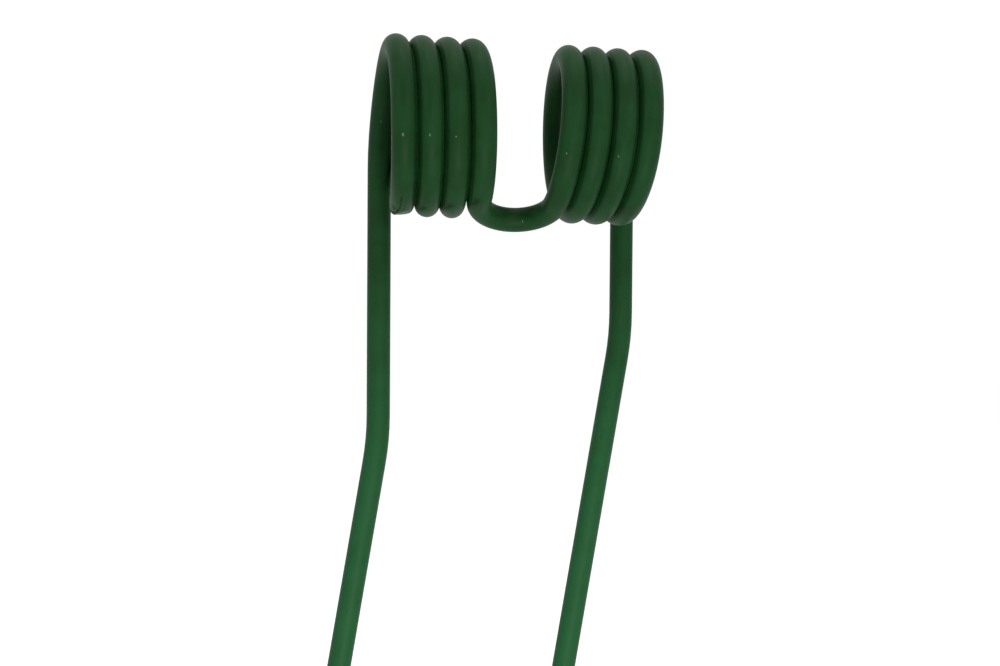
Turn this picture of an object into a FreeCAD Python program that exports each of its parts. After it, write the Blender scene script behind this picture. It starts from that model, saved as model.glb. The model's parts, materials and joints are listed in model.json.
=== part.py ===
import FreeCAD, Part
import math
import os
import Sketcher

# Rotary rake tine: one round spring wire, bent cold. From the left tip it runs up the left leg, round the
# left coil, through the clamp loop between the coils, round the right coil and down the right leg.
# Millimetres. The origin is on the coils' common axis, midway between them. +X runs along that axis from
# the left coil to the right one, +Z is up, and both legs hang down behind the coils, on the +Y side.

NODE = "spring_tine"

SIZES = [
    ("wire_diameter", 9.5, "diameter of the round spring wire"),
    ("turn_gap", 0.15, "clear gap between neighbouring turns of a coil"),
    ("coil_bore", 49.5, "inside diameter of both coils"),
    ("full_turns", 3, "full turns of each coil, before the half turn from the back to the front"),
    ("coil_spacing", 23.5, "clear width between the two coils, measured at the front"),
    ("loop_wrap", 66, "degrees that the wire follows the coil past the front before the loop"),
    ("arc_angle", 90, "largest angle of the equal arcs that each coil is made of, in degrees"),
    ("loop_straight", 2.5, "straight length between each coil and the bend of the loop"),
    ("ease_radius", 200, "centre-line radius of the slight bend that turns each leg off its coil"),
    ("leg_lean", 1.5, "degrees that the upper legs lean towards the right coil, going down"),
    ("bend_radius", 115, "centre-line radius of the bend in each leg"),
    ("left_bend_drop", 123, "drop from the coil axis to the left leg's bend"),
    ("right_bend_drop", 78, "drop from the coil axis to the right leg's bend"),
    ("tip_lean", 8, "degrees that the lower legs lean towards the left, going down"),
    ("leg_drop", 420, "drop from the coil axis to the middle of each tip"),
    ("tip_chamfer", 0.6, "chamfer round each sheared tip"),
]

doc = FreeCAD.newDocument("rotary_rake_tine")
sheet = doc.addObject("Spreadsheet::Sheet", "sizes")
for row, (alias, value, meaning) in enumerate(SIZES, start=1):
    sheet.set(f"A{row}", meaning)
    sheet.set(f"B{row}", str(value))
    sheet.setAlias(f"B{row}", alias)
doc.recompute()

# What follows from the driving sizes, as expressions that the objects are bound to
COIL_RADIUS = "((sizes.coil_bore + sizes.wire_diameter) / 2)"
COIL_PITCH = "(sizes.wire_diameter + sizes.turn_gap)"
FRONT_X = "((sizes.coil_spacing + sizes.wire_diameter) / 2)"
FRONT_TURNS = "(round(sizes.full_turns) + 0.5)"
LEG_X = f"({FRONT_X} + {COIL_PITCH} * {FRONT_TURNS})"
LOOP_X = f"({FRONT_X} - {COIL_PITCH} * sizes.loop_wrap / 360)"
COIL_ANGLE = f"({FRONT_TURNS} * 360 + sizes.loop_wrap)"
ARC_STEP = f"({COIL_ANGLE} / ceil({COIL_ANGLE} / sizes.arc_angle))"
ARC_REACH = f"(2 * {COIL_RADIUS} * tan({ARC_STEP} / 2 * 1 deg))"
LEAD_ANGLE = f"atan({COIL_PITCH} * {ARC_STEP} / 360 / {ARC_REACH})"

# The same values as numbers, to draw each sketch close to where its constraints will hold it
coil_radius = (sheet.coil_bore + sheet.wire_diameter) / 2
coil_pitch = sheet.wire_diameter + sheet.turn_gap
front_x = (sheet.coil_spacing + sheet.wire_diameter) / 2
front_turns = round(sheet.full_turns) + 0.5
leg_x = front_x + coil_pitch * front_turns
loop_x = front_x - coil_pitch * sheet.loop_wrap / 360
coil_angle = front_turns * 360 + sheet.loop_wrap
arc_count = math.ceil(coil_angle / sheet.arc_angle)
arc_step = math.radians(coil_angle / arc_count)
arc_rise = coil_pitch * arc_step / (2 * math.pi)
arc_reach = 2 * coil_radius * math.tan(arc_step / 2)
lead_angle = math.atan(arc_rise / arc_reach)

# How a sketch numbers the points of a curve, its axes and its origin
START, END, CENTRE = range(1, 4)
X_AXIS, Y_AXIS = range(-1, -3, -1)
ORIGIN_POINT = (X_AXIS, START)


def heading(angle):
    """Unit vector of a sketch direction, the angle in radians anticlockwise from the sketch's X."""
    return FreeCAD.Vector(math.cos(angle), math.sin(angle), 0)


def draw_line(sketch, point, angle, length):
    """A straight stretch of the centre line. Returns its index and the point where it ends."""
    end = point + heading(angle) * length
    index = sketch.addGeometry(Part.LineSegment(point, end), False)
    return index, end


def draw_bend(sketch, point, angle, new_angle, radius):
    """An arc that turns the centre line from one direction to another.

    Returns its index, the names of its first and last point and the point where it ends.
    """
    left_turn = new_angle > angle
    side = math.pi / 2 if left_turn else -math.pi / 2
    centre = point + heading(angle + side) * radius
    circle = Part.Circle(centre, FreeCAD.Vector(0, 0, 1), radius)
    end = centre - heading(new_angle + side) * radius
    if left_turn:
        arc = Part.ArcOfCircle(circle, angle - side, new_angle - side)
        return sketch.addGeometry(arc, False), START, END, end
    arc = Part.ArcOfCircle(circle, new_angle - side, angle - side)
    return sketch.addGeometry(arc, False), END, START, end


def bind(sketch, name, expression, *constraint):
    """Adds a named dimension and binds it to the sheet."""
    index = sketch.addConstraint(Sketcher.Constraint(*constraint))
    sketch.renameConstraint(index, name)
    sketch.setExpression(f"Constraints.{name}", expression)


# Coils: helices about the X axis that start at the back, rise over the top and wrap past the front. Each is
# a chain of equal arcs that touch end to end. An arc is tilted along the chord between its two ends, and
# its middle stands as far out as lets it meet the next arc in one direction.
def make_coil(name, side):
    chord = math.hypot(2 * coil_radius * math.sin(arc_step / 2), arc_rise)
    half_turn = math.atan(arc_reach * math.sin(arc_step / 2) / chord)
    middle_radius = coil_radius * math.cos(arc_step / 2) + chord / 2 * math.tan(half_turn / 2)

    def coil_point(radius, angle):
        along = -side * coil_pitch * angle / (2 * math.pi)
        return FreeCAD.Vector(along, radius * math.cos(angle), radius * math.sin(angle))

    arcs = []
    for step in range(arc_count):
        first = coil_point(coil_radius, step * arc_step)
        middle = coil_point(middle_radius, (step + 0.5) * arc_step)
        last = coil_point(coil_radius, (step + 1) * arc_step)
        arcs.append(Part.Arc(first, middle, last).toShape())
    coil = doc.addObject("Part::Feature", name)
    coil.Shape = Part.Wire(arcs)
    coil.setExpression("Placement.Base.x", f"{side} * {LEG_X}")
    return coil


left_coil = make_coil("left_coil", -1)
right_coil = make_coil("right_coil", 1)

# Clamp loop: a U in the plane that touches both coils where the wire leaves them
loop = doc.addObject("Sketcher::SketchObject", "clamp_loop")
loop_angle = math.radians(sheet.loop_wrap - 90)
loop.Placement.Rotation = FreeCAD.Rotation(FreeCAD.Vector(1, 0, 0), math.degrees(loop_angle))
loop.setExpression("Placement.Rotation.Angle", "(sizes.loop_wrap - 90) * 1 deg")
loop.setExpression("Placement.Base.y", f"-{COIL_RADIUS} * cos(sizes.loop_wrap * 1 deg)")
loop.setExpression("Placement.Base.z", f"-{COIL_RADIUS} * sin(sizes.loop_wrap * 1 deg)")
arm_heading = math.pi / 2 - lead_angle
loop_start = FreeCAD.Vector(-loop_x, 0, 0)
left_arm, bend_start = draw_line(loop, loop_start, arm_heading, sheet.loop_straight)
loop_radius = -bend_start.x / math.cos(lead_angle)
loop_bend, bend_first, bend_last, bend_end = draw_bend(
    loop, bend_start, arm_heading, -arm_heading, loop_radius)
right_arm = draw_line(loop, bend_end, -arm_heading, sheet.loop_straight)[0]
loop.addConstraint(Sketcher.Constraint("PointOnObject", left_arm, START, X_AXIS))
loop.addConstraint(Sketcher.Constraint("Tangent", left_arm, END, loop_bend, bend_first))
loop.addConstraint(Sketcher.Constraint("Coincident", loop_bend, bend_last, right_arm, START))
loop.addConstraint(Sketcher.Constraint("Symmetric", left_arm, START, right_arm, END, Y_AXIS))
loop.addConstraint(Sketcher.Constraint("Symmetric", left_arm, END, right_arm, START, Y_AXIS))
bind(loop, "loop_start", LOOP_X, "DistanceX", left_arm, START, *ORIGIN_POINT, loop_x)
bind(loop, "arm_length", "sizes.loop_straight", "Distance", left_arm, sheet.loop_straight)
bind(loop, "arm_angle", f"90 deg - {LEAD_ANGLE}", "Angle", left_arm, arm_heading)


# Legs: both lie in the upright plane that touches the coils at the back
def make_leg(name, side, bend_drop_name):
    leg = doc.addObject("Sketcher::SketchObject", name)
    leg.Placement.Rotation = FreeCAD.Rotation(FreeCAD.Vector(1, 0, 0), 90)
    leg.setExpression("Placement.Base.y", COIL_RADIUS)
    down = -math.pi / 2
    coil_heading = down + side * lead_angle
    upper_heading = down + math.radians(sheet.leg_lean)
    lower_heading = down - math.radians(sheet.tip_lean)
    bend_drop = getattr(sheet, bend_drop_name)

    leg_start = FreeCAD.Vector(side * leg_x, 0, 0)
    ease, ease_first, ease_last, ease_end = draw_bend(
        leg, leg_start, coil_heading, upper_heading, sheet.ease_radius)
    bend_trim = sheet.bend_radius * math.tan((upper_heading - lower_heading) / 2)
    upper_length = (bend_drop + ease_end.y) / -math.sin(upper_heading) - bend_trim
    upper, upper_end = draw_line(leg, ease_end, upper_heading, upper_length)
    corner = upper_end + heading(upper_heading) * bend_trim
    bend, bend_first, bend_last, bend_end = draw_bend(
        leg, upper_end, upper_heading, lower_heading, sheet.bend_radius)
    lower_length = (sheet.leg_drop + bend_end.y) / -math.sin(lower_heading)
    lower = draw_line(leg, bend_end, lower_heading, lower_length)[0]
    corner_mark = leg.addGeometry(Part.Point(corner), True)

    leg.addConstraint(Sketcher.Constraint("PointOnObject", ease, ease_first, X_AXIS))
    leg.addConstraint(Sketcher.Constraint("Tangent", ease, ease_last, upper, START))
    leg.addConstraint(Sketcher.Constraint("Tangent", upper, END, bend, bend_first))
    leg.addConstraint(Sketcher.Constraint("Tangent", bend, bend_last, lower, START))
    leg.addConstraint(Sketcher.Constraint("PointOnObject", corner_mark, START, upper))
    leg.addConstraint(Sketcher.Constraint("PointOnObject", corner_mark, START, lower))
    bind(leg, "coil_side", f"{side} * {LEG_X}", "DistanceX", *ORIGIN_POINT, ease, ease_first, side * leg_x)
    bind(leg, "ease_radius", "sizes.ease_radius", "Radius", ease, sheet.ease_radius)
    ease_centre = leg.Geometry[ease].Center.y
    ease_sign = math.copysign(1, ease_centre)
    bind(leg, "ease_centre", f"{ease_sign:.0f} * sizes.ease_radius * sin({LEAD_ANGLE})",
         "DistanceY", ease, ease_first, ease, CENTRE, ease_centre)
    bind(leg, "upper_angle", "sizes.leg_lean * 1 deg - 90 deg", "Angle", upper, upper_heading)
    bind(leg, "lower_angle", "-90 deg - sizes.tip_lean * 1 deg", "Angle", lower, lower_heading)
    bind(leg, "bend_radius", "sizes.bend_radius", "Radius", bend, sheet.bend_radius)
    bind(leg, "bend_drop", f"-sizes.{bend_drop_name}",
         "DistanceY", *ORIGIN_POINT, corner_mark, START, -bend_drop)
    bind(leg, "tip_drop", "-sizes.leg_drop", "DistanceY", *ORIGIN_POINT, lower, END, -sheet.leg_drop)
    return leg


left_leg = make_leg("left_leg", -1, "left_bend_drop")
right_leg = make_leg("right_leg", 1, "right_bend_drop")

# The centre line from tip to tip, and the wire swept along it
centre_line = doc.addObject("Part::Compound", "centre_line")
centre_line.Links = [left_leg, left_coil, loop, right_coil, right_leg]
section = doc.addObject("Part::Circle", "wire_section")
section.setExpression("Radius", "sizes.wire_diameter / 2")
section.AttachmentSupport = [(left_leg, "Edge4")]
section.MapMode = "NormalToEdge"
section.MapPathParameter = 1.0
wire = doc.addObject("Part::Sweep", "wire")
wire.Sections = [section]
wire.Spine = (centre_line, [])
wire.Solid = True
doc.recompute()

# The rim of each sheared tip is chamfered. The tips are the only flat faces of the wire.
tips = [face for face in wire.Shape.Faces if face.Surface.TypeId == "Part::GeomPlane"]
tine = doc.addObject("Part::Chamfer", NODE)
tine.Label = NODE
tine.Base = wire
tine.Edges = [
    (number, sheet.tip_chamfer, sheet.tip_chamfer)
    for number, edge in enumerate(wire.Shape.Edges, start=1)
    if any(edge.isSame(rim) for tip in tips for rim in tip.Edges)
]

doc.recompute()
for thing in doc.Objects:
    if "Invalid" in thing.State or "Error" in thing.State:
        raise RuntimeError(f"{thing.Label} failed to build: {thing.State}")
if tine.Shape.isNull() or not tine.Shape.isValid() or len(tine.Shape.Solids) != 1:
    raise RuntimeError("the tine is not one valid solid")

os.makedirs("parts", exist_ok=True)
tine.Shape.exportStep(f"parts/{tine.Label}.step")
length = sum(edge.Length for edge in centre_line.Shape.Edges)
print(f"wire length {length:.1f} mm, volume {tine.Shape.Volume:.0f} mm3")
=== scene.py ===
"""Looks of the rotary rake tine: the painted wire, and the studio that it stands in.

Metres, in the tine's own frame: the origin is on the coils' common axis, midway between them,
+X runs from the left coil to the right one, +Z is up, and both legs hang down behind the coils,
on the +Y side.
"""

import json
import math

import bpy
from mathutils import Matrix, Vector
from mathutils.geometry import intersect_point_line


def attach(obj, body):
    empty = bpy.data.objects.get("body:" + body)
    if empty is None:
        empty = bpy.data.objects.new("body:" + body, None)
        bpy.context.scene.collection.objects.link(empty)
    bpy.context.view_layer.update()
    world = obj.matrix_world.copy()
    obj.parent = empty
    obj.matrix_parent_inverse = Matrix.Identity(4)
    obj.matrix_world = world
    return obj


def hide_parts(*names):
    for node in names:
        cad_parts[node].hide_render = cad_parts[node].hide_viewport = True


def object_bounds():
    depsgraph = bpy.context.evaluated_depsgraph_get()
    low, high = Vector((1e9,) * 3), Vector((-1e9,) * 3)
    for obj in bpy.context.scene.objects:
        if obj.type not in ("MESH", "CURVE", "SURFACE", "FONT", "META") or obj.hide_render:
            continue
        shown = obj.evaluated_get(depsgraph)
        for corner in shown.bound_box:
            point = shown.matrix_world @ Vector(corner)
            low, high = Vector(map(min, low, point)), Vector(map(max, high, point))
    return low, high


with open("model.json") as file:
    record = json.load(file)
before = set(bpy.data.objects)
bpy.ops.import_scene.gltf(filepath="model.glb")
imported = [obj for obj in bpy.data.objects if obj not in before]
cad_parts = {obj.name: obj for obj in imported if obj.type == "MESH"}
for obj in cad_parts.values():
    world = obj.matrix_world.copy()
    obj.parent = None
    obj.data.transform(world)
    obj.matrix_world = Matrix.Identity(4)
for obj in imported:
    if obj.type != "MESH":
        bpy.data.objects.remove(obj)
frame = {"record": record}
cad_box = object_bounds()

bl_info = {
    "name": "Rotary Rake Tine",
    "version": (1, 0, 0),
    "blender": (4, 5, 0),
    "location": "3D View > Sidebar > Rake Tine",
    "description": "Bends and paints a double-coil rake tine and sets up its studio",
    "category": "Object",
}

NODE = "spring_tine"
SLOT = frame["record"]["materials"][0]["slot"]
# Attribute that holds the painted shade and shadows, and the loop's dark marks
SHADE_AND_MARKS = "shade_and_marks"
TURN = 2 * math.pi
RIGHT = Vector((1, 0, 0))
BACK = Vector((0, 1, 0))
WHITE = (1, 1, 1, 1)


def length_property(name, description, default):
    return bpy.props.FloatProperty(
        name=name, description=description, default=default, min=0, precision=5, unit="LENGTH")


def height_property(name, description, default):
    return bpy.props.FloatProperty(
        name=name, description=description, default=default, precision=5, unit="LENGTH")


def angle_property(name, description, degrees):
    return bpy.props.FloatProperty(
        name=name, description=description, default=math.radians(degrees), unit="ROTATION")


def factor_property(name, description, default):
    return bpy.props.FloatProperty(
        name=name, description=description, default=default, min=0, max=1, subtype="FACTOR")


def color_property(name, description, default):
    return bpy.props.FloatVectorProperty(
        name=name, description=description, default=default, size=4, min=0, max=1,
        subtype="COLOR")


class WireSizes(bpy.types.PropertyGroup):
    """Sizes of the bent wire and of the dent in it."""

    wire_diameter: length_property("Wire diameter", "Diameter of the round spring wire", 0.0095)
    turn_gap: length_property(
        "Turn gap", "Clear gap between neighbouring turns of a coil", 0.00015)
    coil_bore: length_property("Coil bore", "Inside diameter of both coils", 0.0495)
    full_turns: bpy.props.IntProperty(
        name="Full turns", description="Full turns of a coil, before the half turn to the front",
        default=3, min=1)
    coil_spacing: length_property(
        "Coil spacing", "Clear width between the coils at the front", 0.0235)
    loop_wrap: angle_property(
        "Loop wrap", "How far the wire follows the coil past the front", 66)
    arc_angle: angle_property(
        "Arc angle", "Largest angle of the equal arcs that make a coil", 90)
    loop_straight: length_property(
        "Loop straight", "Straight length between a coil and the loop's bend", 0.0025)
    ease_radius: length_property(
        "Ease radius", "Radius of the slight bend that turns a leg off its coil", 0.2)
    leg_lean: angle_property("Leg lean", "Lean of the upper legs towards the right coil", 1.5)
    bend_radius: length_property(
        "Bend radius", "Centre-line radius of the bend in each leg", 0.115)
    left_bend_drop: length_property(
        "Left bend drop", "Drop from the coil axis to the left leg's bend", 0.123)
    right_bend_drop: length_property(
        "Right bend drop", "Drop from the coil axis to the right leg's bend", 0.078)
    tip_lean: angle_property("Tip lean", "Lean of the lower legs towards the left", 8)
    leg_drop: length_property(
        "Leg drop", "Drop from the coil axis to the middle of each tip", 0.42)
    tip_chamfer: length_property("Tip chamfer", "Chamfer round each sheared tip", 0.0006)
    bridge_height: length_property(
        "Bridge height", "Height of the paint that bridges neighbouring turns", 0.0012)
    bridge_width: length_property(
        "Bridge width", "Width of the paint that bridges neighbouring turns", 0.0004)
    fine_reach: length_property(
        "Fine reach", "How far from the crease the mesh is made finer", 0.002)
    crease_depth: length_property(
        "Crease depth", "Depth of the crease above the flat spot", 0.0009)
    crease_width: length_property(
        "Crease width", "How far from its course the crease is at its deepest", 0.0003)
    crease_reach: length_property(
        "Crease reach", "How far from its bottom the crease ends", 0.0012)
    flat_depth: length_property(
        "Flat depth", "Depth of the flat spot under the left coil's first turn", 0.001)
    flat_tilt: angle_property(
        "Flat tilt", "Tilt of the flat spot, up towards the right coil", 7.7)
    lip_height: length_property(
        "Lip height", "How far the flat spot's left edge is pushed out", 0.0007)
    lip_width: length_property(
        "Lip width", "How far from its course the lip is at its highest", 0.0005)
    lip_reach: length_property("Lip reach", "How far from its ridge the lip ends", 0.002)


class PaintFinish(bpy.types.PropertyGroup):
    """Colours and finish of the paint, with its painted glints, painted shade and shadows, and
    faint dark marks.
    """

    # The green is deep on the coils and goes over to a lighter green down the legs, by height
    deep_green: color_property(
        "Deep green", "Colour of the thick paint on the coils", (0.009, 0.0505, 0.0132, 1))
    light_green: color_property(
        "Light green", "Colour of the thin paint on the lower legs", (0.016, 0.094, 0.031, 1))
    deep_green_height: height_property("Thick height", "Height at which the thick paint ends", -0.03)
    light_green_height: height_property("Thin height", "Height from which the paint is thin", -0.15)
    roughness: factor_property("Roughness", "Roughness of the satin paint", 0.5)
    gloss: factor_property("Gloss", "Strength of the paint's reflection seen head-on", 0.08)
    cloud_size: length_property("Cloud size", "Size of the faint clouds in the paint", 0.012)
    # A cloud moves the green a little towards the deep or the light green, at random
    cloud_share: factor_property(
        "Cloud share", "How far a cloud takes the paint from thick to thin", 0.12)
    cloud_roughness: factor_property(
        "Cloud roughness", "How much rougher or smoother a cloud makes the paint", 0.03)
    grain_size: length_property("Grain size", "Size of the paint's fine orange peel", 0.0011)
    grain_height: length_property(
        "Grain height", "Height of the paint's fine orange peel", 0.00001)
    # Painted glints: pale specks that stand in for the glints of a small lamp on the turns
    glint_green: color_property(
        "Speck green", "Colour of the few pale specks in the paint", (0.17, 0.28, 0.18, 1))
    glint_size: length_property("Speck size", "Size of the largest pale speck", 0.0005)
    # Painted shade and shadows in the grooves, the crease and under the turns, and faint dark marks
    # on the loop, all in one darker green
    shade_and_mark_green: color_property("Grime green", "Colour of the grime", (0.002, 0.02, 0.003, 1))
    shade_and_mark_share: factor_property(
        "Grime share", "How much of the paint's colour the thickest grime takes", 0.85)
    # Painted shade along the pressed crease, in its wide lower part and its fine upper end
    crease_shade: factor_property("Crease grime", "Strength of the grime in the crease", 0.85)
    crease_spread: length_property(
        "Crease spread", "How far the grime spreads from the crease", 0.0015)
    fine_crease_shade: factor_property(
        "Fine grime", "Strength of the grime in the crease's fine upper end", 0.6)
    fine_spread: length_property(
        "Fine spread", "How far the grime spreads from the crease's fine upper end", 0.0009)
    # Painted shadows under the bottom left of the left coil's later turns
    turn_shadow: factor_property(
        "Smudge grime", "Strength of the grime under the left coil's turns", 0.62)
    # Faint dark marks on the clamp loop's top
    loop_dark_marks: factor_property(
        "Loop grime", "Strength of the grime on the clamp loop", 0.48)
    shadow_and_mark_spread: length_property(
        "Smudge spread", "How far the grime spreads from the course of a smudge", 0.0032)
    # Painted shade: darkens the flanks beside the grooves between turns, as the shade there
    groove_shade: factor_property(
        "Groove grime", "Strength of the grime in the grooves between turns", 0.6)


class StudioSettings(bpy.types.PropertyGroup):
    """Camera, floor and even light."""

    camera_place: bpy.props.FloatVectorProperty(
        name="Camera place", description="Where the camera stands",
        default=(-0.07897, -0.47169, -0.06785), size=3, precision=5, subtype="TRANSLATION",
        unit="LENGTH")
    camera_yaw: angle_property("Camera yaw", "Turn of the view from +Y towards +X", 9.0935)
    camera_pitch: angle_property("Camera pitch", "Tilt of the view above the level", -1.2036)
    camera_roll: angle_property("Camera roll", "Turn of the camera about its own view", 1.8808)
    focal_length: bpy.props.FloatProperty(
        name="Focal length", description="Focal length of the camera's lens", default=44.316,
        subtype="DISTANCE_CAMERA")
    sensor_width: bpy.props.FloatProperty(
        name="Sensor width", description="Width of the camera's sensor", default=36,
        subtype="DISTANCE_CAMERA")
    floor_size: length_property("Floor size", "Side of the square floor", 12)
    floor_color: color_property(
        "Floor colour", "Colour of the plain pale floor", (0.8, 0.8, 0.8, 1))
    near_lift: factor_property(
        "Near lift", "White that the camera sees added to the floor near the tine", 0.58)
    far_lift: factor_property(
        "Far lift", "White that the camera sees added to the floor further away", 0.8)
    near_reach: length_property("Near reach", "How far from the tine the floor is near", 0.3)
    far_reach: length_property("Far reach", "From where on the floor is further away", 0.9)
    fill_level: factor_property("Fill level", "Even light from all round", 0.27)
    white_level: bpy.props.FloatProperty(
        name="White level", description="Level of the white that the camera sees all round",
        default=1.02, min=0)


# Bending the wire

RING_POINTS = 48
FINE_COIL_STEP = math.radians(2)
COIL_STEP = math.radians(4)
BEND_STEP = math.radians(3)
MERGE_DISTANCE = 1e-6


class Coil:
    """Shape of a coil: a chain of equal tilted arcs that touch end to end and follow a helix."""

    def __init__(self, sizes, turns_less=0):
        self.wire_radius = sizes.wire_diameter / 2
        self.radius = (sizes.coil_bore + sizes.wire_diameter) / 2
        self.pitch = sizes.wire_diameter + sizes.turn_gap
        front_turns = sizes.full_turns + 0.5
        self.angle = (front_turns - turns_less) * TURN + sizes.loop_wrap
        self.leg_x = (sizes.coil_spacing + sizes.wire_diameter) / 2 + self.pitch * front_turns
        self.arc_count = math.ceil(self.angle / sizes.arc_angle)
        self.arc_step = self.angle / self.arc_count
        rise = self.pitch * self.arc_step / TURN
        reach = 2 * self.radius * math.tan(self.arc_step / 2)
        chord = math.hypot(reach * math.cos(self.arc_step / 2), rise)
        self.lead = math.atan(rise / reach)
        self.tilt = math.asin(rise / chord)
        self.arc_turn = 2 * math.atan(reach * math.sin(self.arc_step / 2) / chord)
        self.arc_radius = chord / 2 / math.sin(self.arc_turn / 2)

    def surface(self, turned, around):
        """A place on the left coil's surface, by two angles in degrees.

        The first is how far the coil has turned since its leg, with the coil's bottom at 270.
        The second is the angle round the wire: 0 faces outwards, and 90 the right coil.
        """
        turned, around = math.radians(turned), math.radians(around)
        out = self.radius + self.wire_radius * math.cos(around)
        along = self.pitch * turned / TURN - self.leg_x + self.wire_radius * math.sin(around)
        return Vector((along, out * math.cos(turned), out * math.sin(turned)))

    def course(self, angles):
        """The places of a course on the left coil's surface, each of them given by two angles."""
        return [self.surface(turned, around) for turned, around in angles]


class Leg:
    """Turns, lengths and tip of one leg, worked out from its coil downwards."""

    def __init__(self, sizes, coil, side, bend_drop):
        down = -math.pi / 2
        coil_heading = down + side * coil.lead
        upper = down + sizes.leg_lean
        lower = down - sizes.tip_lean
        self.ease_turn = upper - coil_heading
        self.bend_turn = lower - upper
        ease_radius = math.copysign(sizes.ease_radius, self.ease_turn)
        ease_x = side * coil.leg_x + ease_radius * (math.sin(upper) - math.sin(coil_heading))
        ease_z = ease_radius * (math.cos(coil_heading) - math.cos(upper))
        trim = sizes.bend_radius * math.tan(abs(self.bend_turn) / 2)
        to_corner = (bend_drop + ease_z) / -math.sin(upper)
        to_tip = (sizes.leg_drop - bend_drop) / -math.sin(lower)
        self.upper_length = to_corner - trim
        self.lower_length = to_tip - trim
        tip_x = ease_x + to_corner * math.cos(upper) + to_tip * math.cos(lower)
        self.tip = Vector((tip_x, coil.radius, -sizes.leg_drop))
        self.tip_heading = Vector((math.cos(lower), 0, math.sin(lower)))


class WireBender:
    """Draws the wire on from its end, which is the one selected face, straight or in a bend."""

    def __init__(self, point, heading):
        self.point = point
        self.heading = heading

    def run(self, length):
        travel = self.heading * length
        bpy.ops.mesh.extrude_region_move(TRANSFORM_OT_translate={"value": travel})
        self.point = self.point + travel

    def bend(self, radius, angle, axis, step=BEND_STEP):
        """Turns the wire about an axis. A positive angle is anticlockwise seen from the axis's tip.

        The spin tool counts its angle the other way round.
        """
        centre = self.point + axis.cross(self.heading) * math.copysign(radius, angle)
        steps = math.ceil(abs(angle) / step)
        bpy.ops.mesh.spin(steps=steps, angle=-angle, center=centre, axis=axis)
        turn = Matrix.Rotation(angle, 3, axis)
        self.point = centre + turn @ (self.point - centre)
        self.heading = turn @ self.heading

    def wind(self, coil, way, step=COIL_STEP):
        """Winds a coil: from its leg to the loop with a way of 1, or back to its leg with -1."""
        for number in range(coil.arc_count)[::way]:
            angle = (number + 0.5) * coil.arc_step
            along = Vector((0, -math.sin(angle), math.cos(angle)))
            axis = way * math.cos(coil.tilt) * RIGHT - math.sin(coil.tilt) * along
            self.bend(coil.arc_radius, coil.arc_turn, axis, step)


def deselect_all():
    if bpy.context.object and bpy.context.object.mode != "OBJECT":
        bpy.ops.object.mode_set(mode="OBJECT")
    bpy.ops.object.select_all(action="DESELECT")


def start_wire(leg, diameter):
    """A disc at the tip of a leg, square to the wire, which is then drawn out."""
    deselect_all()
    up_the_leg = -leg.tip_heading
    bpy.ops.mesh.primitive_circle_add(
        vertices=RING_POINTS, radius=diameter / 2, fill_type="NGON", location=leg.tip,
        rotation=up_the_leg.to_track_quat("Z", "Y").to_euler())
    wire = bpy.context.object
    wire.name = wire.data.name = SLOT
    bpy.ops.object.mode_set(mode="EDIT")
    bpy.ops.mesh.select_all(action="SELECT")
    return wire, WireBender(leg.tip, up_the_leg)


def chamfer_tips(width):
    """Chamfers the rim of both tips, which are the only faces with more than four corners."""
    bpy.ops.mesh.select_mode(type="FACE")
    bpy.ops.mesh.select_all(action="DESELECT")
    bpy.ops.mesh.select_face_by_sides(number=4, type="GREATER")
    bpy.ops.mesh.bevel(offset=width, segments=1, affect="EDGES")


def bridge_turns(sizes):
    """Thin paint between neighbouring turns, which closes the grooves of both coils."""
    groove = Coil(sizes, turns_less=1)
    start = Vector((groove.pitch / 2 - groove.leg_x, groove.radius, 0))
    heading = Vector((math.sin(groove.lead), 0, math.cos(groove.lead)))
    section = (sizes.bridge_width, sizes.bridge_height, 1)
    deselect_all()
    bpy.ops.mesh.primitive_plane_add(size=1, location=start)
    bridges = bpy.context.object
    bpy.ops.object.mode_set(mode="EDIT")
    bpy.ops.mesh.select_all(action="SELECT")
    bpy.ops.transform.resize(value=section, center_override=start)
    WireBender(start, heading).wind(groove, 1)
    bpy.ops.mesh.select_all(action="SELECT")
    bpy.ops.mesh.duplicate()
    bpy.ops.transform.resize(value=(-1, 1, 1), center_override=(0, 0, 0))
    bpy.ops.object.mode_set(mode="OBJECT")
    return bridges


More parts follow.
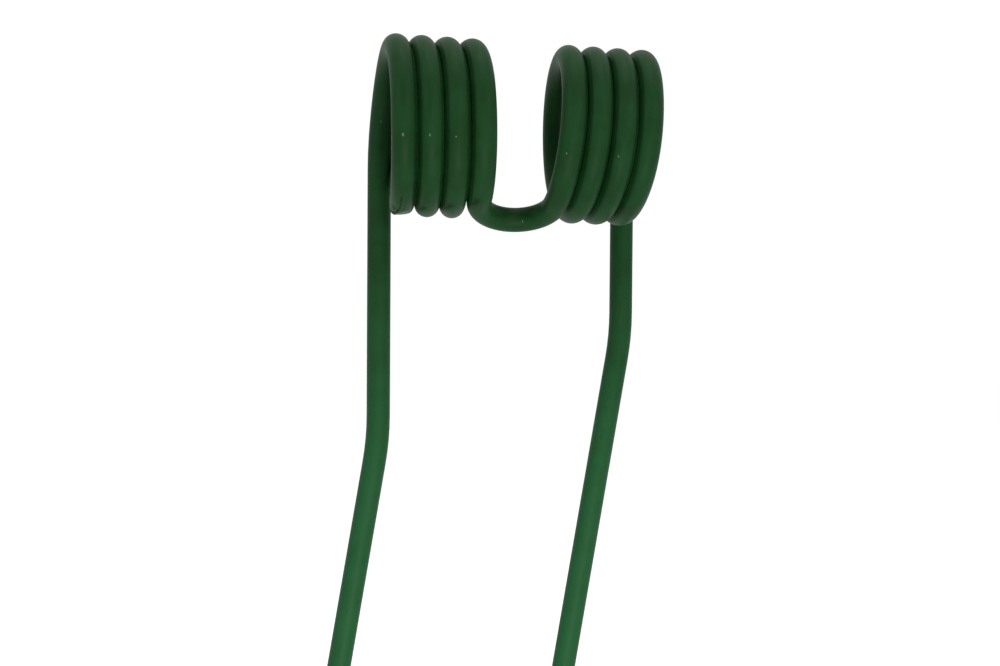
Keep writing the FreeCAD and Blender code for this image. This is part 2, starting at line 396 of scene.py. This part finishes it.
class TINE_OT_wire(bpy.types.Operator):
    """Bend the wire from the tip of the left leg to the tip of the right one"""

    bl_idname = "tine.wire"
    bl_label = "Bend the Wire"

    def execute(self, context):
        sizes = context.scene.wire_sizes
        coil = Coil(sizes)
        left = Leg(sizes, coil, -1, sizes.left_bend_drop)
        right = Leg(sizes, coil, 1, sizes.right_bend_drop)
        loop_axis = Vector((0, math.cos(coil.angle), math.sin(coil.angle)))

        wire, bender = start_wire(left, sizes.wire_diameter)
        bender.run(left.lower_length)
        bender.bend(sizes.bend_radius, left.bend_turn, BACK)
        bender.run(left.upper_length)
        bender.bend(sizes.ease_radius, left.ease_turn, BACK)
        bender.wind(coil, 1, FINE_COIL_STEP)
        bender.run(sizes.loop_straight)
        loop_radius = -bender.point.x / math.cos(coil.lead)
        bender.bend(loop_radius, math.pi - 2 * coil.lead, loop_axis)
        bender.run(sizes.loop_straight)
        bender.wind(coil, -1)
        bender.bend(sizes.ease_radius, -right.ease_turn, BACK)
        bender.run(right.upper_length)
        bender.bend(sizes.bend_radius, -right.bend_turn, BACK)
        bender.run(right.lower_length)
        if (bender.point - right.tip).length > sizes.turn_gap:
            raise RuntimeError("the wire misses the tip of the right leg")

        chamfer_tips(sizes.tip_chamfer)
        bridges = bridge_turns(sizes)
        bpy.context.view_layer.objects.active = wire
        wire.select_set(True)
        bridges.select_set(True)
        bpy.ops.object.join()
        bpy.ops.object.mode_set(mode="EDIT")
        bpy.ops.mesh.select_all(action="SELECT")
        bpy.ops.mesh.remove_doubles(threshold=MERGE_DISTANCE)
        bpy.ops.mesh.normals_make_consistent(inside=False)
        bpy.ops.object.mode_set(mode="OBJECT")
        bpy.ops.object.transform_apply(location=True, rotation=True, scale=True)
        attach(wire, "root")
        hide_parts(NODE)
        return {"FINISHED"}


# Dent, painted shade and dark marks

# How far the left coil has turned, in degrees, at the bottom of its first turn
BOTTOM = 270

# Courses on the left coil, each place by the two angles that Coil.surface takes
FINE_CREASE = ((238, -8), (246, -10), (254, -13), (258, -20))
WIDE_CREASE = ((258, -20), (262, -29), (266, -39), (270, -49))
UNDERSIDE = tuple((turned, 0) for turned in range(250, 300, 5))
LIP = tuple((turned, -50) for turned in range(256, 292, 4))
# Courses of painted shadows under the bottom left of the left coil's second, third and fourth turns
TURN_SHADOWS = (
    ((609, -20), (613, -33), (618, -48)),
    ((965, -20), (969, -33), (974, -48)),
    ((1318, -20), (1322, -33), (1326, -48)),
)

# Courses of faint dark marks on the clamp loop, as places in the tine's frame
LOOP_DARK_MARKS = (
    ((-0.0086, -0.0060, -0.0330), (-0.0068, -0.0043, -0.0329),
     (-0.0050, -0.0030, -0.0327), (-0.0034, -0.0022, -0.0324)),
    ((0.0024, -0.0015, -0.0317), (0.0042, -0.0024, -0.0322), (0.0066, -0.0042, -0.0324)),
)

# Sine of the angle round the wire where the painted shade beside a groove is darkest, and how
# far from there it ends
GROOVE_MIDDLE = 0.8
GROOVE_SPREAD = 0.2

# Ways in which the crease and the lip are pushed
INTO_WIRE = Vector((0, 0.6, 0.8))
OFF_WIRE = Vector((-0.2, 0, -1))

FINE_CUTS = 2
SHARP_ANGLE = math.radians(40)


def distance(point, course):
    """How far a point is from a course, which is a list of places joined by straight lines."""
    shortest = math.inf
    for start, end in zip(course, course[1:]):
        share = intersect_point_line(point, start, end)[1]
        share = min(max(share, 0), 1)
        shortest = min(shortest, (point - start.lerp(end, share)).length)
    return shortest


def select_points(wire, test):
    """Selects the points of the wire that pass a test, and stays in edit mode."""
    bpy.ops.object.mode_set(mode="EDIT")
    bpy.ops.mesh.select_mode(type="VERT")
    bpy.ops.mesh.select_all(action="DESELECT")
    bpy.ops.object.mode_set(mode="OBJECT")
    for point in wire.data.vertices:
        point.select = test(point.co)
    bpy.ops.object.mode_set(mode="EDIT")


def push(value, reach):
    """Moves the selected points, and those around them less and less up to a distance."""
    bpy.ops.transform.translate(
        value=value, use_proportional_edit=True, use_proportional_connected=True,
        proportional_edit_falloff="SMOOTH", proportional_size=reach)


def groove_shade_share(coil, point):
    """Share of the painted shade beside the grooves that a point takes: 1 at most, and 0 away
    from a groove.

    The right coil is taken as the left one's mirror image. A groove is there where the coil has
    another turn on the side that the point faces.
    """
    facing = point.normal.x if point.co.x < 0 else -point.normal.x
    middle_x = -abs(point.co.x) - coil.wire_radius * facing
    turned = (middle_x + coil.leg_x) / coil.pitch * TURN
    beside = turned + math.copysign(TURN, facing)
    off_centre = abs(math.hypot(point.co.y, point.co.z) - coil.radius)
    if off_centre > coil.wire_radius or not all(0 < at < coil.angle for at in (turned, beside)):
        return 0
    return max(1 - abs(abs(facing) - GROOVE_MIDDLE) / GROOVE_SPREAD, 0)


def mark_shade_and_marks(wire, coil, finish):
    """Writes how dark the painted shade, the painted shadows and the dark marks are at each point
    of the wire, from 0 to 1, as an attribute.
    """
    # Painted shade along the crease, painted shadows under the turns and faint dark marks on the
    # loop, each with its spread and strength
    marks = [
        # Painted shade along the crease, in its fine upper end and its wide lower part
        (coil.course(FINE_CREASE), finish.fine_spread, finish.fine_crease_shade),
        (coil.course(WIDE_CREASE), finish.crease_spread, finish.crease_shade),
    ]
    # Painted shadows under the later turns
    for dark_course in TURN_SHADOWS:
        marks.append((coil.course(dark_course), finish.shadow_and_mark_spread, finish.turn_shadow))
    # Faint dark marks on the clamp loop
    for dark_course in LOOP_DARK_MARKS:
        places = [Vector(place) for place in dark_course]
        marks.append((places, finish.shadow_and_mark_spread, finish.loop_dark_marks))
    shade_and_marks = wire.data.attributes.new(SHADE_AND_MARKS, "FLOAT", "POINT")
    for point, mark in zip(wire.data.vertices, shade_and_marks.data):
        # Painted shade beside the grooves first, then the darkest of the other marks
        mark.value = finish.groove_shade * groove_shade_share(coil, point)
        for course, spread, strength in marks:
            # Each course is much shorter than this, so no point that it marks is left out
            if (point.co - course[0]).length < coil.radius:
                share = 1 - distance(point.co, course) / spread
                mark.value = max(mark.value, strength * share)


def press_flat_spot(wire, coil, sizes):
    """Flattens the coil's underside along a tilted plane and pushes out its left edge."""
    underside = coil.course(UNDERSIDE)
    lip = coil.course(LIP)
    spot = coil.surface(BOTTOM, 0) + Vector((0, 0, sizes.flat_depth))
    slope = math.tan(sizes.flat_tilt)
    select_points(wire, lambda point: (
        point.z < spot.z + (point.x - spot.x) * slope
        and distance(point, underside) < coil.wire_radius))
    bpy.ops.transform.resize(value=(1, 1, 0), center_override=spot)
    bpy.ops.transform.rotate(value=sizes.flat_tilt, orient_axis="Y", center_override=spot)
    select_points(wire, lambda point: distance(point, lip) < sizes.lip_width)
    push(OFF_WIRE * sizes.lip_height, sizes.lip_reach)


class TINE_OT_dent(bpy.types.Operator):
    """Press a crease and a flat spot into the left coil's first turn, and mark the painted shade
    and dark marks
    """

    bl_idname = "tine.dent"
    bl_label = "Dent the Coil"

    def execute(self, context):
        sizes = context.scene.wire_sizes
        coil = Coil(sizes)
        crease = coil.course(FINE_CREASE + WIDE_CREASE[1:])
        wire = bpy.data.objects[SLOT]
        deselect_all()
        bpy.context.view_layer.objects.active = wire
        wire.select_set(True)

        for _ in range(FINE_CUTS):
            select_points(wire, lambda point: distance(point, crease) < sizes.fine_reach)
            bpy.ops.mesh.subdivide(number_cuts=1)
        bpy.ops.object.mode_set(mode="OBJECT")
        mark_shade_and_marks(wire, coil, context.scene.paint_finish)
        select_points(wire, lambda point: distance(point, crease) < sizes.crease_width)
        push(INTO_WIRE * sizes.crease_depth, sizes.crease_reach)
        press_flat_spot(wire, coil, sizes)
        bpy.ops.object.mode_set(mode="OBJECT")
        bpy.ops.object.shade_smooth_by_angle(angle=SHARP_ANGLE)
        return {"FINISHED"}


# Materials

# A noise's values are mostly between these two
NOISE_LOW = 0.35
NOISE_HIGH = 0.65
CLOUD_DETAIL = 3
GRAIN_DETAIL = 1

# Place of each painted glint, a pale speck that stands in for a small lamp's glint on the wire,
# and its size as a share of the largest
GLINTS = (
    ((-0.0460, -0.0333, -0.0078), 1),
    ((-0.0364, -0.0333, -0.0074), 0.8),
    ((-0.0270, -0.0332, -0.0075), 0.65),
    ((-0.0506, 0.0243, 0.0048), 0.65),
    ((0.0138, -0.0318, -0.0112), 0.65),
    ((0.0332, -0.0318, -0.0113), 0.65),
    ((0.0036, -0.0021, -0.0345), 0.6),
)
GLINT_SQUASH = Vector((1, 1, 0.5))


def new_material(name):
    material = bpy.data.materials.new(name)
    material.use_nodes = True
    tree = material.node_tree
    tree.nodes.clear()
    return material, tree


def feed(tree, socket, value):
    """Links a node's socket to another one, or sets it to a value."""
    if isinstance(value, bpy.types.NodeSocket):
        tree.links.new(value, socket)
    else:
        socket.default_value = value


def add_node(tree, kind, **inputs):
    """A node with its named sockets fed."""
    node = tree.nodes.new(kind)
    for name, value in inputs.items():
        feed(tree, node.inputs[name.replace("_", " ")], value)
    return node


def calculate(tree, kind, operation, *values):
    """A math or vector math node with its first sockets fed."""
    node = tree.nodes.new(kind)
    node.operation = operation
    for socket, value in zip(node.inputs, values):
        feed(tree, socket, value)
    return node


def noise(tree, coordinates, size, detail):
    texture = add_node(
        tree, "ShaderNodeTexNoise", Vector=coordinates, Scale=1 / size, Detail=detail)
    return texture.outputs["Fac"]


def map_range(tree, value, low, high, start=NOISE_LOW, end=NOISE_HIGH):
    """Goes smoothly from low to high while the value goes from start to end."""
    node = add_node(
        tree, "ShaderNodeMapRange", Value=value, From_Min=start, From_Max=end,
        To_Min=low, To_Max=high)
    node.interpolation_type = "SMOOTHSTEP"
    return node.outputs["Result"]


def mix_colors(tree, factor, first, second):
    """A colour from the first to the second. Each of them is a socket or a plain colour.

    The mix node keeps its factor in input 0, its colours in inputs 6 and 7 and the mixed
    colour in output 2.
    """
    mix = tree.nodes.new("ShaderNodeMix")
    mix.data_type = "RGBA"
    mix.clamp_factor = False
    feed(tree, mix.inputs[0], factor)
    feed(tree, mix.inputs[6], first)
    feed(tree, mix.inputs[7], second)
    return mix.outputs[2]


def painted_glints(tree, coordinates, size):
    """1 at the middle of each painted glint and 0 away from it. A glint is twice as high as wide.
    """
    squashed = calculate(tree, "ShaderNodeVectorMath", "MULTIPLY", coordinates, GLINT_SQUASH)
    total = 0
    for place, share in GLINTS:
        away = calculate(
            tree, "ShaderNodeVectorMath", "DISTANCE", squashed.outputs["Vector"],
            Vector(place) * GLINT_SQUASH)
        glint = map_range(tree, away.outputs["Value"], 1, 0, 0, size * share)
        total = calculate(tree, "ShaderNodeMath", "MAXIMUM", total, glint).outputs[0]
    return total


class TINE_OT_paint(bpy.types.Operator):
    """Paint the wire dark green, lighter down the legs, with faint clouds, fine orange peel,
    painted glints, painted shade and shadows, and faint dark marks on the loop
    """

    bl_idname = "tine.paint"
    bl_label = "Paint the Wire"

    def execute(self, context):
        finish = context.scene.paint_finish
        material, tree = new_material("satin_green_paint")
        place = add_node(tree, "ShaderNodeTexCoord").outputs["Object"]
        clouds = noise(tree, place, finish.cloud_size, CLOUD_DETAIL)
        grain = noise(tree, place, finish.grain_size, GRAIN_DETAIL)

        height = add_node(tree, "ShaderNodeSeparateXYZ", Vector=place).outputs["Z"]
        # The green goes from deep at the coils to light down the legs, by height, and the clouds
        # move it a little either way
        paler = map_range(tree, height, 0, 1, finish.deep_green_height, finish.light_green_height)
        cloud = map_range(tree, clouds, -finish.cloud_share, finish.cloud_share)
        paling = calculate(tree, "ShaderNodeMath", "ADD", paler, cloud).outputs[0]
        green = mix_colors(tree, paling, finish.deep_green, finish.light_green)

        # The painted shade and shadows, and the loop's dark marks, darken the green
        mark = add_node(tree, "ShaderNodeAttribute")
        mark.attribute_name = SHADE_AND_MARKS
        darkening = map_range(tree, mark.outputs["Fac"], 0, finish.shade_and_mark_share, 0, 1)
        green = mix_colors(tree, darkening, green, finish.shade_and_mark_green)
        # Painted glints of a small lamp
        glint = painted_glints(tree, place, finish.glint_size)
        color = mix_colors(tree, glint, green, finish.glint_green)

        # The painted shade and shadows also take the paint's reflection away
        gloss = map_range(tree, darkening, finish.gloss, 0, 0, finish.shade_and_mark_share)
        smoothest = finish.roughness - finish.cloud_roughness
        roughest = finish.roughness + finish.cloud_roughness
        roughness = map_range(tree, clouds, smoothest, roughest)
        bump = add_node(tree, "ShaderNodeBump", Height=grain, Distance=finish.grain_height)
        paint = add_node(
            tree, "ShaderNodeBsdfPrincipled", Base_Color=color, Roughness=roughness,
            Specular_IOR_Level=gloss, Normal=bump.outputs["Normal"])
        add_node(tree, "ShaderNodeOutputMaterial", Surface=paint.outputs["BSDF"])
        bpy.data.objects[SLOT].data.materials.append(material)
        return {"FINISHED"}


# Studio

# Place, size, power and colour of each lamp. The left one is like daylight, the others warmer.
LAMPS = {
    "front_lamp": ((0.41, -1.95, 0.02), 0.6, 2.6, (1, 0.9, 0.9)),
    "left_lamp": ((-1.5, -0.87, 0.85), 0.6, 6, (0.95, 0.95, 1)),
    "right_lamp": ((0.99, -1.42, 0.85), 0.6, 6.8, (1, 0.9, 0.9)),
    "top_lamp": ((0, -0.07, 1.85), 1.2, 9, (1, 0.95, 0.9)),
    "low_lamp": ((0, -0.38, -0.38), 0.25, 1.5, (1, 0.95, 0.9)),
}


def seen_directly(tree):
    """1 for the camera, and for reflections and glass, which show what the camera sees."""
    path = add_node(tree, "ShaderNodeLightPath")
    total = path.outputs["Is Camera Ray"]
    for name in ("Is Glossy Ray", "Is Transmission Ray"):
        total = calculate(
            tree, "ShaderNodeMath", "MAXIMUM", total, path.outputs[name]).outputs[0]
    return total


def make_world(settings):
    """Even light for the tine, behind a white that the camera sees."""
    world = bpy.data.worlds.new("white_studio")
    world.use_nodes = True
    tree = world.node_tree
    tree.nodes.clear()
    fill = add_node(
        tree, "ShaderNodeBackground", Color=WHITE, Strength=settings.fill_level)
    white = add_node(
        tree, "ShaderNodeBackground", Color=WHITE, Strength=settings.white_level)
    mix = add_node(tree, "ShaderNodeMixShader", Fac=seen_directly(tree))
    tree.links.new(fill.outputs[0], mix.inputs[1])
    tree.links.new(white.outputs[0], mix.inputs[2])
    add_node(tree, "ShaderNodeOutputWorld", Surface=mix.outputs[0])
    bpy.context.scene.world = world


def make_floor(settings):
    """A pale floor that the camera sees as white, but for the tine's shadow near its tips."""
    deselect_all()
    bpy.ops.mesh.primitive_plane_add(size=settings.floor_size, location=(0, 0, cad_box[0].z))
    floor = bpy.context.object
    floor.name = "floor"
    material, tree = new_material("pale_floor")
    plain = add_node(tree, "ShaderNodeBsdfDiffuse", Color=settings.floor_color, Roughness=0)
    place = add_node(tree, "ShaderNodeTexCoord").outputs["Object"]
    away = calculate(tree, "ShaderNodeVectorMath", "LENGTH", place).outputs["Value"]
    white = map_range(
        tree, away, settings.near_lift, settings.far_lift,
        settings.near_reach, settings.far_reach)
    lift = calculate(tree, "ShaderNodeMath", "MULTIPLY", seen_directly(tree), white)
    glow = add_node(tree, "ShaderNodeEmission", Color=WHITE, Strength=lift.outputs[0])
    both = tree.nodes.new("ShaderNodeAddShader")
    tree.links.new(plain.outputs[0], both.inputs[0])
    tree.links.new(glow.outputs[0], both.inputs[1])
    add_node(tree, "ShaderNodeOutputMaterial", Surface=both.outputs[0])
    floor.data.materials.append(material)


def add_lamp(name, place, size, power, color):
    """A round area lamp that faces the middle of the tine."""
    deselect_all()
    aim = Vector(place) - (cad_box[0] + cad_box[1]) / 2
    bpy.ops.object.light_add(
        type="AREA", location=place, rotation=aim.to_track_quat("Z", "Y").to_euler())
    lamp = bpy.context.object
    lamp.name = name
    lamp.data.shape = "DISK"
    lamp.data.size = size
    lamp.data.energy = power
    lamp.data.color = color
    lamp.visible_camera = False


def add_camera(settings):
    deselect_all()
    bpy.ops.object.camera_add()
    camera = bpy.context.object
    camera.name = "camera"
    level = Matrix.Rotation(-settings.camera_yaw, 4, "Z")
    tilt = Matrix.Rotation(math.pi / 2 + settings.camera_pitch, 4, "X")
    roll = Matrix.Rotation(settings.camera_roll, 4, "Z")
    camera.matrix_world = Matrix.Translation(settings.camera_place) @ level @ tilt @ roll
    camera.data.sensor_width = settings.sensor_width
    camera.data.lens = settings.focal_length
    bpy.context.scene.camera = camera


class TINE_OT_studio(bpy.types.Operator):
    """Set up the pale floor, the soft lamps and the camera"""

    bl_idname = "tine.studio"
    bl_label = "Set Up the Studio"

    def execute(self, context):
        settings = context.scene.studio_settings
        context.scene.view_settings.view_transform = "Standard"
        make_world(settings)
        make_floor(settings)
        for name, lamp in LAMPS.items():
            add_lamp(name, *lamp)
        add_camera(settings)
        return {"FINISHED"}


class TINE_PT_panel(bpy.types.Panel):
    """Lists the tine's sizes, its paint, its studio and the steps that make them"""

    bl_idname = "TINE_PT_panel"
    bl_label = "Rake Tine"
    bl_space_type = "VIEW_3D"
    bl_region_type = "UI"
    bl_category = "Rake Tine"

    def draw(self, context):
        scene = context.scene
        for group, steps in (
            (scene.wire_sizes, ("tine.wire", "tine.dent")),
            (scene.paint_finish, ("tine.paint",)),
            (scene.studio_settings, ("tine.studio",)),
        ):
            box = self.layout.box()
            for name in group.__annotations__:
                box.prop(group, name)
            for step in steps:
                box.operator(step)


CLASSES = (
    WireSizes, PaintFinish, StudioSettings,
    TINE_OT_wire, TINE_OT_dent, TINE_OT_paint, TINE_OT_studio, TINE_PT_panel)


def register():
    for each in CLASSES:
        bpy.utils.register_class(each)
    bpy.types.Scene.wire_sizes = bpy.props.PointerProperty(type=WireSizes)
    bpy.types.Scene.paint_finish = bpy.props.PointerProperty(type=PaintFinish)
    bpy.types.Scene.studio_settings = bpy.props.PointerProperty(type=StudioSettings)


def unregister():
    del bpy.types.Scene.studio_settings
    del bpy.types.Scene.paint_finish
    del bpy.types.Scene.wire_sizes
    for each in reversed(CLASSES):
        bpy.utils.unregister_class(each)


def main():
    register()
    bpy.ops.tine.wire()
    bpy.ops.tine.dent()
    bpy.ops.tine.paint()
    bpy.ops.tine.studio()


if __name__ == "__main__":
    main()
